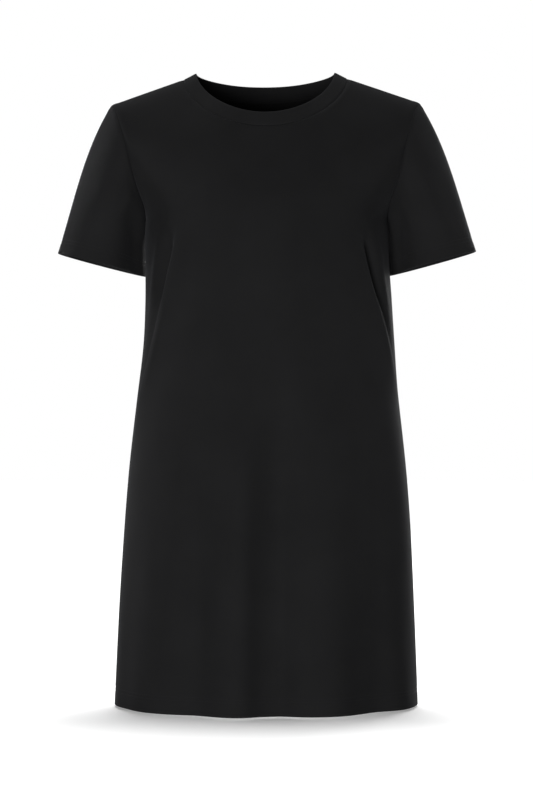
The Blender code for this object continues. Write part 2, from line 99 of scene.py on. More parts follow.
# ---- the general form
# height, front half width and depth, back half width and depth
FORM = (
    (HEM_Z, 0.2035, 0.1440, 0.2035, 0.1300),
    (-0.700, 0.1976, 0.1395, 0.1976, 0.1265),
    (-0.593, 0.1915, 0.1370, 0.1915, 0.1205),
    (-0.512, 0.1848, 0.1355, 0.1848, 0.1110),
    (-0.431, 0.1756, 0.1347, 0.1756, 0.1010),
    (-0.350, 0.1680, 0.1350, 0.1680, 0.0960),
    (-0.290, 0.1650, 0.1358, 0.1650, 0.0975),
    (-0.235, 0.1636, 0.1345, 0.1636, 0.1020),
    (-0.200, 0.1630, 0.1315, 0.1630, 0.1050),
    (UNDERARM_Z, 0.1630, 0.1288, 0.1630, 0.1062),
    (-0.168, 0.1680, 0.1265, 0.1680, 0.1064),
    (-0.150, 0.1800, 0.1215, 0.1810, 0.1056),
    (-0.125, 0.1975, 0.1130, 0.2000, 0.1022),
    (-0.095, 0.2170, 0.1015, 0.2210, 0.0950),
    (-0.065, 0.2330, 0.0890, 0.2390, 0.0842),
    (-0.034, 0.2430, 0.0750, 0.2500, 0.0705),
    (0.000, 0.2490, 0.0595, 0.2560, 0.0560),
    (0.040, 0.2520, 0.0430, 0.2590, 0.0400),
)
# height and half width of the armhole seam, underarm to shoulder
ARMHOLE = (
    (UNDERARM_Z, 0.1630),
    (-0.173, 0.1642),
    (-0.160, 0.1682),
    (-0.145, 0.1730),
    (-0.125, 0.1784),
    (-0.105, 0.1832),
    (-0.085, 0.1880),
    (-0.068, 0.1925),
    (-0.052, 0.1974),
    (-0.041, 0.2020),
    (SHOULDER_Z, SHOULDER_X),
)

# ---- the folds
# The long fold from the bust to the side seam. Its crest runs at this share of
# the way from centre front to the side seam; columns of the mesh follow it.
CREST = {
    "left": (  # +X
        (HEM_Z, 0.80), (-0.600, 0.82), (-0.480, 0.87), (-0.420, 0.87),
        (-0.390, 0.812), (-0.359, 0.752), (-0.325, 0.682), (-0.290, 0.619),
        (-0.254, 0.577), (-0.215, 0.532), (UNDERARM_Z, 0.50),
    ),
    "right": (
        (HEM_Z, 0.80), (-0.600, 0.83), (-0.500, 0.865), (-0.423, 0.815),
        (-0.402, 0.774), (-0.360, 0.710), (-0.317, 0.646), (-0.266, 0.576),
        (-0.240, 0.538), (-0.215, 0.510), (UNDERARM_Z, 0.48),
    ),
}
# height, crest height, hollow beside it, outer swell, in metres
CREST_SIZE = {
    "left": (
        (HEM_Z, 0.0, 0.0, 0.0), (-0.450, 0.0, 0.0, 0.0), (-0.400, 0.0030, 0.0, 0.0),
        (-0.340, 0.0048, 0.0012, 0.0004), (-0.290, 0.0046, 0.0040, 0.0020),
        (-0.245, 0.0040, 0.0055, 0.0026), (-0.218, 0.0016, 0.0022, 0.0012),
        (-0.195, 0.0, 0.0, 0.0), (UNDERARM_Z, 0.0, 0.0, 0.0),
    ),
    "right": (
        (HEM_Z, 0.0, 0.0, 0.0), (-0.500, 0.0, 0.0, 0.0), (-0.440, 0.0030, 0.0, 0.0),
        (-0.380, 0.0050, 0.0006, 0.0), (-0.320, 0.0050, 0.0018, 0.0008),
        (-0.275, 0.0048, 0.0046, 0.0022), (-0.240, 0.0040, 0.0056, 0.0026),
        (-0.216, 0.0014, 0.0020, 0.0010), (-0.195, 0.0, 0.0, 0.0),
    ),
}
CREST_DEEPER = (1.05, 1.7, 1.2)  # how much stronger each shows here than in the model
CREST_INSIDE, CREST_OUTSIDE = 0.11, 0.030  # widths of its flanks, same share
HOLLOW_OFFSET, HOLLOW_WIDTH = 0.060, 0.041
SWELL_OFFSET, SWELL_WIDTH = 0.150, 0.050
CREST_COLUMN = 11  # the column of the mesh that follows the crest
INSIDE_STEP = 0.046  # the column before it lies this far towards the centre
# columns outside it, and their shares of the way from the crest to the side seam
OUTSIDE_STEPS = ((12, 0.13), (13, 0.26), (14, 0.40), (15.6, 0.60))
NECK_COLUMN = 12  # the column that meets the shoulder's neck end
SIDE_COLUMN = 20  # and the one that meets the side seam
DENSE = 3000  # points on a curve before it is cut into equal steps

# Flutes of the skirt and soft folds of the back. place is the share of the way from
# the centre (0) to the side seam (+1 towards +X) at the fold's top and foot.
# top, foot, place at top, place at foot, half width, height (in: negative)
FOLDS = {
    "front": (
        (-0.440, HEM_Z, -0.045, -0.030, 0.085, -0.0062),
        (-0.430, HEM_Z, -0.135, -0.175, 0.085, 0.0040),
        (-0.500, HEM_Z, -0.270, -0.330, 0.090, -0.0036),
        (-0.540, HEM_Z, -0.480, -0.540, 0.120, 0.0032),
        (-0.470, HEM_Z, 0.150, 0.200, 0.130, 0.0034),
        (-0.520, HEM_Z, 0.340, 0.430, 0.110, -0.0044),
        (-0.560, HEM_Z, 0.600, 0.680, 0.110, 0.0030),
        (-0.580, HEM_Z, -0.730, -0.760, 0.100, -0.0026),
    ),
    "back": (
        (-0.420, HEM_Z, 0.020, 0.060, 0.100, -0.0060),
        (-0.400, HEM_Z, 0.190, 0.260, 0.110, 0.0046),
        (-0.470, HEM_Z, 0.400, 0.480, 0.110, -0.0050),
        (-0.520, HEM_Z, 0.660, 0.720, 0.110, 0.0032),
        (-0.430, HEM_Z, -0.150, -0.190, 0.100, 0.0044),
        (-0.480, HEM_Z, -0.350, -0.410, 0.110, -0.0046),
        (-0.540, HEM_Z, -0.610, -0.680, 0.120, 0.0034),
        (-0.190, -0.430, 0.520, 0.860, 0.090, 0.0046),
        (-0.210, -0.400, 0.680, 0.900, 0.070, -0.0034),
        (-0.180, -0.450, -0.480, -0.840, 0.090, 0.0048),
        (-0.215, -0.410, -0.650, -0.880, 0.070, -0.0036),
        (-0.300, -0.520, 0.130, 0.060, 0.160, -0.0040),
    ),
}
FOLD_GROWS = 0.75  # share of a flute's height over which it grows to full depth
FOLD_ENDS = (0.4, 0.4)  # shares of a shorter fold over which it starts and dies out
SEAM_POWER = 8  # folds keep their height until near the side seam
FLIP = np.array([-1.0, 1.0, 1.0])  # mirrors points to the other side


# ---- small helpers
def spans(rows, column, at):
    """A table's first values, one of its columns, and the span that each place is in."""
    order = sorted(rows)
    x = np.array([r[0] for r in order])
    y = np.array([r[column] for r in order])
    at = np.clip(at, x[0], x[-1])
    return x, y, at, np.clip(np.searchsorted(x, at) - 1, 0, len(x) - 2)


def through(rows, column, at):
    """The smooth curve through a table's column, read at the given first values."""
    x, y, at, i = spans(rows, column, at)
    step = np.diff(y) / np.diff(x)
    before, after = step[:-1], step[1:]
    same_way = before * after > 0
    middle = np.zeros(len(before))
    middle[same_way] = 2 * before[same_way] * after[same_way] / (before + after)[same_way]
    slope = np.concatenate(([step[0]], middle, [step[-1]]))
    width = x[i + 1] - x[i]
    t = (at - x[i]) / width
    return (
        (1 + 2 * t) * (1 - t) ** 2 * y[i]
        + t * (1 - t) ** 2 * width * slope[i]
        + t * t * (3 - 2 * t) * y[i + 1]
        + t * t * (t - 1) * width * slope[i + 1]
    )


def fair(rows, column, at):
    """A fairer curve through a table's column, whose curvature has no steps."""
    x, y, at, i = spans(rows, column, at)
    h = np.diff(x)
    step = np.diff(y) / h
    system = np.eye(len(x))
    pull = np.zeros(len(x))
    for k in range(1, len(x) - 1):
        system[k, k - 1: k + 2] = h[k - 1], 2 * (h[k - 1] + h[k]), h[k]
        pull[k] = 6 * (step[k] - step[k - 1])
    bend = np.linalg.solve(system, pull)
    a, b = x[i + 1] - at, at - x[i]
    return (
        (bend[i] * a ** 3 + bend[i + 1] * b ** 3) / (6 * h[i])
        + (y[i] / h[i] - bend[i] * h[i] / 6) * a
        + (y[i + 1] / h[i] - bend[i + 1] * h[i] / 6) * b
    )


def ease(t):
    """A smooth step from 0 to 1."""
    t = np.clip(t, 0, 1)
    return t * t * (3 - 2 * t)


def taper(along, start, end):
    """1 in the middle of a run from 0 to 1; it starts and dies out over these shares."""
    return ease(along / start) * ease((1 - along) / end)


def gauss(distance, width):
    """A bell of height 1; at its width it has fallen to 1/e."""
    return np.exp(-((distance / width) ** 2))


def unit(v):
    return v / np.maximum(np.linalg.norm(v, axis=-1, keepdims=True), 1e-12)


def run_along(points):
    """The distance run along a line, at each of its points."""
    return np.concatenate(([0], np.cumsum(np.linalg.norm(np.diff(points, axis=0), axis=1))))


def read_at(at, run, values):
    """A line's points or directions, read at some distances along it."""
    return np.stack([np.interp(at, run, values[:, k]) for k in range(3)], axis=-1)


def evenly(points, count):
    """A dense line resampled into count steps of equal length."""
    run = run_along(points)
    return read_at(np.linspace(0, run[-1], count + 1), run, points)


# ---- the form
def shoulder_height(x):
    """Height of the line over the shoulder; it climbs on towards the neck."""
    inside = np.maximum(NECK_HALF - x, 0)
    return SHOULDER_SLOPE * (NECK_HALF - x) + NECK_RISE * inside ** 2


def form_size(piece, z):
    """Half width and depth of the form's front or back at a height."""
    column = 3 if piece == "back" else 1
    return fair(FORM, column, z), fair(FORM, column + 1, z)


def form(piece, x, z):
    """The point of the form's front or back at (x, z), for x of zero or more."""
    half_width, depth = form_size(piece, z)
    round_body = depth * np.sqrt(np.maximum(1 - (x / half_width) ** 2, 0))
    drop = np.maximum(shoulder_height(x) - z, 0)
    over_shoulder = np.sqrt(2 * SHOULDER_ROUND * drop) * (1 + (drop / SHOULDER_REACH) ** 2)
    near = np.maximum(np.minimum(round_body, over_shoulder), 1e-9)
    far = np.maximum(np.maximum(round_body, over_shoulder), 1e-9)
    y = near * (1 + (near / far) ** CORNER_POWER) ** (-1 / CORNER_POWER)
    y = np.where(near < 1e-8, 0, y)
    return np.stack([x, y if piece == "back" else -y, z], axis=-1)


def armhole(piece, count):
    """The armhole seam on one panel, underarm to shoulder, in equal steps."""
    p = (1 - np.cos(np.linspace(0, math.pi, DENSE))) / 2
    z = UNDERARM_Z + (SHOULDER_Z - UNDERARM_Z) * p
    line = form(piece, fair(ARMHOLE, 1, z), z)
    line[0, 1] = line[-1, 1] = 0
    return evenly(line, count)


def neck_and_shoulder(piece, neck_steps, shoulder_steps):
    """The top edge of half a panel, centre to shoulder end."""
    turn = np.linspace(0, 1, DENSE) ** 0.5 * math.pi / 2
    drop = NECK_DROP[piece] * np.maximum(np.cos(turn), 0) ** NECK_CURVE
    neck = form(piece, NECK_HALF * np.sin(turn), -drop)
    neck[-1, 1] = 0
    x = np.linspace(NECK_HALF, SHOULDER_X, shoulder_steps + 1)
    shoulder = np.stack([x, 0 * x, shoulder_height(x)], axis=1)
    return np.vstack([evenly(neck, neck_steps), shoulder[1:]])


def column_places(side, z, columns):
    """Shares of the way to the side seam, with a column on the crest and the hollow."""
    crest = through(CREST[side], 1, z)
    places = [(0, 0 * crest), (CREST_COLUMN - 1, crest - INSIDE_STEP), (CREST_COLUMN, crest)]
    places += [(column, crest + share * (1 - crest)) for column, share in OUTSIDE_STEPS]
    places += [(SIDE_COLUMN, 1 + 0 * crest)]
    knots_at = [column for column, _ in places]
    knots = np.stack([place for _, place in places], axis=-1)
    return np.stack([np.interp(columns, knots_at, row) for row in knots])


def rooted(points):
    """Square root of how far each point lies below the shoulder line."""
    return np.sqrt(np.maximum(shoulder_height(points[..., 0]) - points[..., 2], 0))


def half_panel(piece, side, levels, rows_up, columns):
    """Half a panel's base points, centre to side, and each point's place across."""
    n = len(columns)
    level = HEM_Z + (UNDERARM_ROW_Z - HEM_Z) * levels
    climbed = (level - ROW_BEND_Z) / (UNDERARM_ROW_Z - ROW_BEND_Z)
    bend = (UNDERARM_Z - UNDERARM_ROW_Z) * ease(climbed)
    place = column_places(side, level, columns)
    z = level[:, None] + bend[:, None] * np.maximum(2 * place - 1, 0) ** 2
    half_width, _ = form_size(piece, z)
    low = form(piece, half_width * np.sin(place * math.pi / 2), z)
    low[:, -1, 1] = 0

    start = low[-1]
    neck_steps = int(np.searchsorted(columns, NECK_COLUMN))
    top = neck_and_shoulder(piece, neck_steps, n - 1 - neck_steps)
    arm = armhole(piece, rows_up)
    share = columns / SIDE_COLUMN
    k_start, k_top, k_arm = rooted(start), rooted(top), rooted(arm)
    up = []
    for i in range(1, rows_up + 1):
        t = i / rows_up
        w = 1 - math.sqrt(1 - t)
        x_mend = arm[i, 0] - ((1 - w) * start[-1, 0] + w * top[-1, 0])
        k_mend = k_arm[i] - (1 - t) * k_start[-1]
        x = (1 - w) * start[:, 0] + w * top[:, 0] + share * x_mend
        k = (1 - t) * k_start + t * k_top + share * k_mend
        row = form(piece, x, shoulder_height(x) - k * k)
        row[-1] = arm[i]
        up.append(row)
    up[-1] = top
    points = np.vstack([low, np.array(up)])
    half_width, _ = form_size(piece, points[..., 2])
    across = np.arcsin(np.clip(points[..., 0] / half_width, 0, 1)) / (math.pi / 2)
    across[: len(levels)] = place
    return points, across


# ---- folds
def crest_fold(side, across, z):
    """Height of the long side fold: crest, hollow beside it and swell outside."""
    off = across - through(CREST[side], 1, z)
    size = [through(CREST_SIZE[side], k + 1, z) * CREST_DEEPER[k] for k in range(3)]
    flank = np.where(off < 0, CREST_INSIDE, CREST_OUTSIDE)
    crest = size[0] * gauss(off, flank)
    hollow = size[1] * gauss(off - HOLLOW_OFFSET, HOLLOW_WIDTH)
    swell = size[2] * gauss(off - SWELL_OFFSET, SWELL_WIDTH)
    return crest - hollow + swell


def soft_folds(piece, across, z):
    """Sum of the piece's flutes and soft folds; they fade before the side seams."""
    total = 0 * z
    for top, foot, place_top, place_foot, width, height in FOLDS[piece]:
        down = (top - z) / (top - foot)
        place = place_top + (place_foot - place_top) * np.clip(down, 0, 1)
        grown = ease(down / FOLD_GROWS) if foot == HEM_Z else taper(down, *FOLD_ENDS)
        total = total + height * grown * gauss(across - place, width)
    return total * (1 - np.abs(across) ** SEAM_POWER)


def grid_normals(p, turn=1.0):
    """Unit normals of a grid of points, rows by columns."""
    along = np.gradient(p, axis=0)
    over = np.gradient(p, axis=1)
    return unit(turn * np.cross(over, along))


def ring_normals(p):
    """The same for a grid whose rows close on themselves."""
    return grid_normals(np.concatenate([p[:, -1:], p, p[:, :1]], axis=1))[:, 1:-1]


def both_halves(right, left):
    """Two halves, centre to side, joined into one grid from the -X to the +X side."""
    return np.concatenate([right[:, :0:-1], left], axis=1)


def panel(piece, levels, rows_up, columns):
    """A whole panel's outer points and their outward normals."""
    halves = {}
    for side in ("left", "right"):
        points, across = half_panel(piece, side, levels, rows_up, columns)
        fold = 0 * across
        if piece == "front":
            fold = crest_fold(side, across, points[..., 2]) * (1 - across ** SEAM_POWER)
        halves[side] = (points, across, fold)
    right, left = halves["right"], halves["left"]
    points = both_halves(right[0] * FLIP, left[0])
    across = both_halves(-right[1], left[1])
    fold = both_halves(right[2], left[2]) + soft_folds(piece, across, points[..., 2])
    outward = 1.0 if piece == "front" else -1.0
    points = points + grid_normals(points, outward) * fold[..., None]
    normals = grid_normals(points, outward)
    # side seams and shoulder seams stay in their plane
    shoulder = len(columns) - 1 - int(np.searchsorted(columns, NECK_COLUMN))
    normals[: len(levels), [0, -1], 1] = 0
    normals[-1, : shoulder + 1, 1] = 0
    normals[-1, -shoulder - 1:, 1] = 0
    return points, unit(normals)


# ---- sleeves
def sleeve(loop, rows):
    """Outer points of the +X sleeve: rows down from the armhole loop to the hem."""
    outer, inner = np.array(SLEEVE_OUTER), np.array(SLEEVE_INNER)
    centre, reach = (outer + inner) / 2, (outer - inner) / 2
    count = len(loop)
    turn = np.arange(count) / count * 2 * math.pi
    top, front = np.cos(turn), np.sin(turn)
    hem = centre + top[:, None] * reach - front[:, None] * (0, SLEEVE_HALF_DEPTH, 0)
    shares = np.stack([1 + 0 * top, top, (1 - top) / 2, front], axis=1)
    start_way = unit(shares @ np.array(SLEEVE_START))
    end_way = unit(shares @ np.array(SLEEVE_END))
    length = np.linalg.norm(hem - loop, axis=1)[:, None]
    t = np.linspace(0, 1, rows + 1)[:, None, None]
    second = loop + start_way * length / 3
    third = hem - end_way * length / 3
    return (
        (1 - t) ** 3 * loop
        + 3 * t * (1 - t) ** 2 * second
        + 3 * t * t * (1 - t) * third
        + t ** 3 * hem
    )


# ---- finer shape
FINER = 5  # columns here for one of the model's
HEM_TURN = 0.0225  # the skirt's hem is turned up and stitched this far
SLEEVE_TURN = 0.019
HEM_DOUBLED = 0.0011  # how much thicker a turned hem is
HEM_STEP = 0.002  # height over which that thickness ends
HEM_ROWS = 20
FINE_REACH = 1.25  # times the hem's height, the rows lie closer together
SKIRT_ROWS = 108
TOP_ROWS = 58  # underarm to shoulder
SLEEVE_ROWS = 74
SEAM_DITCH, SEAM_DITCH_WIDTH = 0.00080, 0.0018  # the valley along a seam
SEAM_RIDGE, SEAM_RIDGE_AT, SEAM_RIDGE_WIDTH = 0.00035, 0.0062, 0.0040
TOP_SEAM, UNDERARM_SEAM = 0.5, 0.8  # how strongly these seams show beside the others
STITCH_DITCH, STITCH_DITCH_WIDTH = 0.00035, 0.0016  # where the hem's stitching pulls in
STITCH_ROWS_APART = 0.0045
CREASE_ENDS = (0.35, 0.45)  # shares of a crease over which it starts and dies out
SLEEVE_CREASE_ENDS = (0.3, 0.5)
SIDE_FADE = 0.02  # creases die out this near a side seam
WAVE_HEIGHT = 0.0007  # unevenness of the hanging panels
WAVES = 14  # how many are added up
WAVE_SEED = {"front": 5, "back": 9}
SLEEVE_RADIUS, SLEEVE_LENGTH = 0.060, 0.21  # rough sizes, to turn shares into metres

# Creases: soft ridges (height above 0) and troughs (below). Each runs from its start
# towards its bend and on to its end, as (x, z) seen from the front, in metres.
# start, bend, end, half width, height
CREASES = {
    "front": (
        # from the armholes towards the bust
        ((-0.158, -0.150), (-0.146, -0.176), (-0.139, -0.206), 0.0075, 0.0011),
        ((-0.150, -0.168), (-0.137, -0.192), (-0.128, -0.216), 0.0060, -0.0010),
        ((-0.160, -0.182), (-0.153, -0.205), (-0.150, -0.236), 0.0070, 0.0009),
        ((0.160, -0.152), (0.141, -0.163), (0.118, -0.168), 0.0060, 0.0009),
        ((0.156, -0.168), (0.138, -0.184), (0.124, -0.205), 0.0065, 0.0012),
        ((0.150, -0.182), (0.137, -0.197), (0.128, -0.216), 0.0060, -0.0009),
        ((0.056, -0.110), (0.055, -0.122), (0.056, -0.134), 0.0040, 0.0004),
        # the sharp lower end of the long side folds
        ((-0.1290, -0.275), (-0.1500, -0.352), (-0.1680, -0.440), 0.0032, 0.0013),
        ((0.1370, -0.275), (0.1530, -0.345), (0.1700, -0.410), 0.0032, 0.0013),
        # across the upper chest
        ((-0.120, -0.060), (-0.080, -0.082), (-0.046, -0.112), 0.0220, 0.0010),
        ((0.124, -0.064), (0.090, -0.092), (0.060, -0.118), 0.0200, -0.0009),
        # flutes of the skirt, running on past the hem
        ((-0.035, -0.380), (-0.034, -0.620), (-0.034, -1.280), 0.0255, 0.0110),
        ((0.012, -0.380), (0.018, -0.620), (0.018, -1.280), 0.0265, -0.0138),
        ((0.084, -0.420), (0.096, -0.640), (0.100, -1.280), 0.0300, 0.0074),
        ((0.138, -0.420), (0.152, -0.640), (0.162, -1.280), 0.0270, -0.0105),
        ((-0.096, -0.420), (-0.092, -0.640), (-0.090, -1.280), 0.0180, -0.0034),
        # pulls that fan out below the bust
        ((-0.092, -0.230), (-0.096, -0.300), (-0.104, -0.380), 0.0160, 0.0010),
        ((0.080, -0.235), (0.086, -0.300), (0.100, -0.390), 0.0170, 0.0009),
        ((-0.030, -0.290), (-0.036, -0.370), (-0.030, -0.450), 0.0200, -0.0008),
        ((0.024, -0.300), (0.030, -0.380), (0.038, -0.460), 0.0220, 0.0008),
        ((-0.086, -0.430), (-0.092, -0.520), (-0.104, -0.640), 0.0180, -0.0011),
        ((0.128, -0.440), (0.136, -0.520), (0.140, -0.600), 0.0140, -0.0011),
        ((0.060, -0.520), (0.066, -0.620), (0.080, -0.740), 0.0200, 0.0012),
        ((-0.052, -0.560), (-0.058, -0.660), (-0.060, -0.790), 0.0160, 0.0010),
        ((-0.150, -0.560), (-0.156, -0.650), (-0.160, -0.760), 0.0110, 0.0010),
    ),
    "back": (
        # flutes of the skirt, running on past the hem
        ((-0.010, -0.360), (0.004, -0.600), (0.010, -1.250), 0.0170, -0.0058),
        ((0.056, -0.380), (0.066, -0.600), (0.078, -1.250), 0.0170, 0.0044),
        ((-0.066, -0.400), (-0.076, -0.620), (-0.090, -1.250), 0.0180, 0.0040),
        ((-0.120, -0.420), (-0.132, -0.620), (-0.146, -1.250), 0.0150, -0.0042),
        ((0.118, -0.400), (0.128, -0.620), (0.136, -1.250), 0.0160, -0.0044),
        # from the armholes
        ((-0.162, -0.150), (-0.136, -0.178), (-0.116, -0.222), 0.0090, 0.0024),
        ((-0.160, -0.176), (-0.142, -0.204), (-0.132, -0.250), 0.0080, -0.0020),
        ((0.163, -0.148), (0.140, -0.182), (0.128, -0.232), 0.0090, 0.0023),
        ((0.160, -0.178), (0.148, -0.214), (0.144, -0.262), 0.0080, -0.0021),
        # across the hollow of the back
        ((-0.090, -0.300), (-0.020, -0.330), (0.060, -0.318), 0.0150, 0.0026),
        ((-0.100, -0.352), (-0.030, -0.376), (0.040, -0.366), 0.0120, -0.0024),
        ((0.110, -0.330), (0.060, -0.366), (0.000, -0.392), 0.0130, 0.0020),
        # below it, and across the shoulders
        ((-0.120, -0.430), (-0.126, -0.540), (-0.136, -0.660), 0.0180, 0.0013),
        ((0.064, -0.470), (0.076, -0.580), (0.084, -0.720), 0.0180, -0.0013),
        ((-0.020, -0.520), (-0.028, -0.640), (-0.030, -0.780), 0.0170, 0.0012),
        ((-0.060, -0.040), (0.000, -0.058), (0.062, -0.044), 0.0120, 0.0009),
    ),
}
# Sleeve creases run from start to end; a place is the turn round the arm in degrees
# (0 over the shoulder, 90 front, 180 underarm) and the share of the way down.
# start, end, half width, height
SLEEVE_CREASES = {
    "sleeve_left": (
        ((62, 0.04), (40, 0.52), 0.0100, 0.0010),
        ((100, 0.10), (84, 0.62), 0.0090, -0.0012),
        ((130, 0.12), (110, 0.70), 0.0085, 0.0013),
        ((150, 0.12), (147, 1.60), 0.0290, -0.0115),
        ((212, 0.08), (236, 0.70), 0.0100, 0.0014),
        ((262, 0.06), (286, 0.60), 0.0110, -0.0011),
    ),
    "sleeve_right": (
        ((58, 0.05), (34, 0.48), 0.0110, 0.0009),
        ((88, 0.06), (70, 0.66), 0.0100, -0.0011),
        ((124, 0.10), (102, 0.62), 0.0085, 0.0013),
        ((150, 0.12), (147, 1.60), 0.0290, -0.0115),
        ((208, 0.10), (228, 0.76), 0.0100, 0.0013),
        ((254, 0.06), (280, 0.56), 0.0110, -0.0012),
    ),
}


def distance_to_line(points, line):
    """Distance of 2-D points from a polyline, and how far along it they lie, 0 to 1."""
    best = np.full(points.shape[:-1], 1e9)
    along = np.zeros(points.shape[:-1])
    pieces = len(line) - 1
    for i in range(pieces):
        a, b = line[i], line[i + 1]
        way = b - a
        t = np.clip(((points - a) @ way) / (way @ way), 0, 1)
        gap = np.linalg.norm(points - (a + t[..., None] * way), axis=-1)
        nearer = gap < best
        best = np.where(nearer, gap, best)
        along = np.where(nearer, (i + t) / pieces, along)
    return best, along


def crease_relief(piece, points):
    """Height of a panel's creases at its points."""
    seen = points[..., [0, 2]]
    total = np.zeros(points.shape[:2])
    t = np.linspace(0, 1, 11)[:, None]
    for start, bend, end, width, height in CREASES[piece]:
        start, bend, end = np.array([start, bend, end])
        line = (1 - t) ** 2 * start + 2 * t * (1 - t) * bend + t ** 2 * end
        distance, along = distance_to_line(seen, line)
        total += height * taper(along, *CREASE_ENDS) * gauss(distance, width)
    return total


def seam_relief(distance):
    """The valley at a seam, and the low ridge of its allowance beside it."""
    valley = -SEAM_DITCH * gauss(distance, SEAM_DITCH_WIDTH)
    return valley + SEAM_RIDGE * gauss(distance - SEAM_RIDGE_AT, SEAM_RIDGE_WIDTH)


def arc_lengths(points, axis):
    """Distance run along the rows (axis 1) or columns (axis 0) of a grid."""
    step = np.linalg.norm(np.diff(points, axis=axis), axis=-1)
    pad = [(0, 0), (0, 0)]
    pad[axis] = (1, 0)
    return np.cumsum(np.pad(step, pad), axis=axis)


def slow_waves(u, v, seed):
    """Barely seen unevenness of hanging cloth, a few tenths of a millimetre."""
    draw = np.random.default_rng(seed)
    total = 0 * u
    for _ in range(WAVES):
        across, down = draw.uniform(8, 40), draw.uniform(4, 22)
        phase = draw.uniform(0, 2 * math.pi, 2)
        total += np.sin(u * across + phase[0]) * np.sin(v * down + phase[1])
    return total / WAVES


# ---- shells
MITRE_LIMIT = 1.6  # a shared corner gets no thicker than this many walls


def rounded(a, b, beyond, steps=3):
    """Rows of points round a free edge, from face a to face b, away from beyond."""
    centre, radius = (a + b) / 2, (a - b) / 2
    out = unit(a - beyond) * np.linalg.norm(radius, axis=-1, keepdims=True) * 0.8
    turns = [math.pi * (i + 1) / (steps + 1) for i in range(steps)]
    return [centre + radius * math.cos(t) + out * math.sin(t) for t in turns]


def strip(ids, cloth, corner, size):
    """One patch of quads: vertex ids, cloth coordinates, and its place for baking."""
    rows, columns = ids.shape
    across, up = np.meshgrid(np.linspace(0, 1, columns), np.linspace(0, 1, rows))
    bake = np.stack([corner[0] + size[0] * across, corner[1] + size[1] * up], axis=-1)
    corners = [(slice(None, -1), slice(None, -1)), (slice(None, -1), slice(1, None)),
               (slice(1, None), slice(1, None)), (slice(1, None), slice(None, -1))]
    parts = [np.stack([grid[c] for c in corners], axis=2) for grid in (ids, cloth, bake)]
    return [p.reshape((-1, 4) + p.shape[3:]) for p in parts]


def shell(name, outer, inner, closed, free_first, free_last, material):
    """A closed shell between two grids of points. A free edge is rounded."""
    rows, columns = outer.shape[:2]
    wrap = list(range(columns)) + ([0] if closed else [])
    vertices = [outer.reshape(-1, 3), inner.reshape(-1, 3)]
    out_ids = np.arange(rows * columns).reshape(rows, columns)[:, wrap]
    in_ids = out_ids + rows * columns
    u = arc_lengths(outer[:, wrap], 1)
    u = u - u[:, [len(wrap) // 2]]
    v = arc_lengths(outer[:, wrap], 0)
    cloth = np.stack([u, v], axis=-1)

    def edge(row, inside_row, free, first):
        """The rim along the first or last row, as rows of ids."""
        faces = (in_ids[row], out_ids[row]) if first else (out_ids[row], in_ids[row])
        grids = (inner, outer) if first else (outer, inner)
        middle = []
        if free:
            for points in rounded(grids[0][row], grids[1][row], grids[0][inside_row]):
                start = sum(len(x) for x in vertices)
                vertices.append(points)
                middle.append(np.arange(start, start + columns)[wrap])
        return np.array([faces[0], *middle, faces[1]])

    first = edge(0, 1, free_first, True)
    last = edge(-1, -2, free_last, False)
    patches = [
        strip(out_ids, cloth, (0.01, 0.04), (0.47, 0.92)),
        strip(in_ids[:, ::-1], cloth[:, ::-1], (0.52, 0.04), (0.47, 0.92)),
        strip(first, np.repeat(cloth[:1], len(first), axis=0), (0.01, 0.005), (0.98, 0.025)),
        strip(last, np.repeat(cloth[-1:], len(last), axis=0), (0.01, 0.97), (0.98, 0.025)),
    ]
    if not closed:
        pairs = (np.stack([in_ids[:, 0], out_ids[:, 0]], axis=1),
                 np.stack([out_ids[:, -1], in_ids[:, -1]], axis=1))
        for k, ids in enumerate(pairs):
            column = cloth[:, [0, 0]] if k == 0 else cloth[:, [-1, -1]]
            patches.append(strip(ids, column, (0.486 + 0.010 * k, 0.04), (0.006, 0.92)))
    faces, cloth_uv, bake_uv = (np.concatenate([p[k] for p in patches]) for k in range(3))
    piece = placed(name, hung(np.vstack(vertices)), faces.tolist(), material)
    for title, values in (("cloth", cloth_uv), ("OFBake", bake_uv)):
        layer = piece.data.uv_layers.new(name=title)
        layer.data.foreach_set("uv", values.reshape(-1))
    return piece


def placed(name, vertices, faces, material):
    """A smooth object of this mesh in the scene."""
    mesh = bpy.data.meshes.new(name)
    mesh.from_pydata(vertices.tolist(), [], faces)
    mesh.shade_smooth()
    piece = bpy.data.objects.new(name, mesh)
    bpy.context.collection.objects.link(piece)
    piece.data.materials.append(material)
    return piece


def hung(points):
    """The points as the dress hangs, a little off true."""
    lean = through(HANG, 1, points[:, 2]) * points[:, 0]
    shift = through(HANG, 2, points[:, 2])
    return points + np.stack([shift, 0 * shift, lean], axis=1)


def mitred(own, other):
    """The shared direction in which two walls meeting at an angle both thicken."""
    both = unit(own + other)
    stretch = 1 / np.maximum((both * own).sum(axis=1, keepdims=True), 0.5)
    return both * np.minimum(stretch, MITRE_LIMIT)


# ---- materials
def new_material(name, looks):
    """A material with these looks, its nodes, its links and its shader."""
    material = bpy.data.materials.new(name)
    material.use_nodes = True
    nodes, links = material.node_tree.nodes, material.node_tree.links
    shader = nodes["Principled BSDF"]
    for title, value in looks.items():
        shader.inputs[title].default_value = value
    return material, nodes, links, shader


def noise(nodes, links, scale, detail):
    """Noise spread over an object's own coordinates."""
    spread = nodes.new("ShaderNodeTexCoord")
    node = nodes.new("ShaderNodeTexNoise")
    node.inputs["Scale"].default_value = scale
    node.inputs["Detail"].default_value = detail
    links.new(spread.outputs["Object"], node.inputs["Vector"])
    return node.outputs["Fac"]


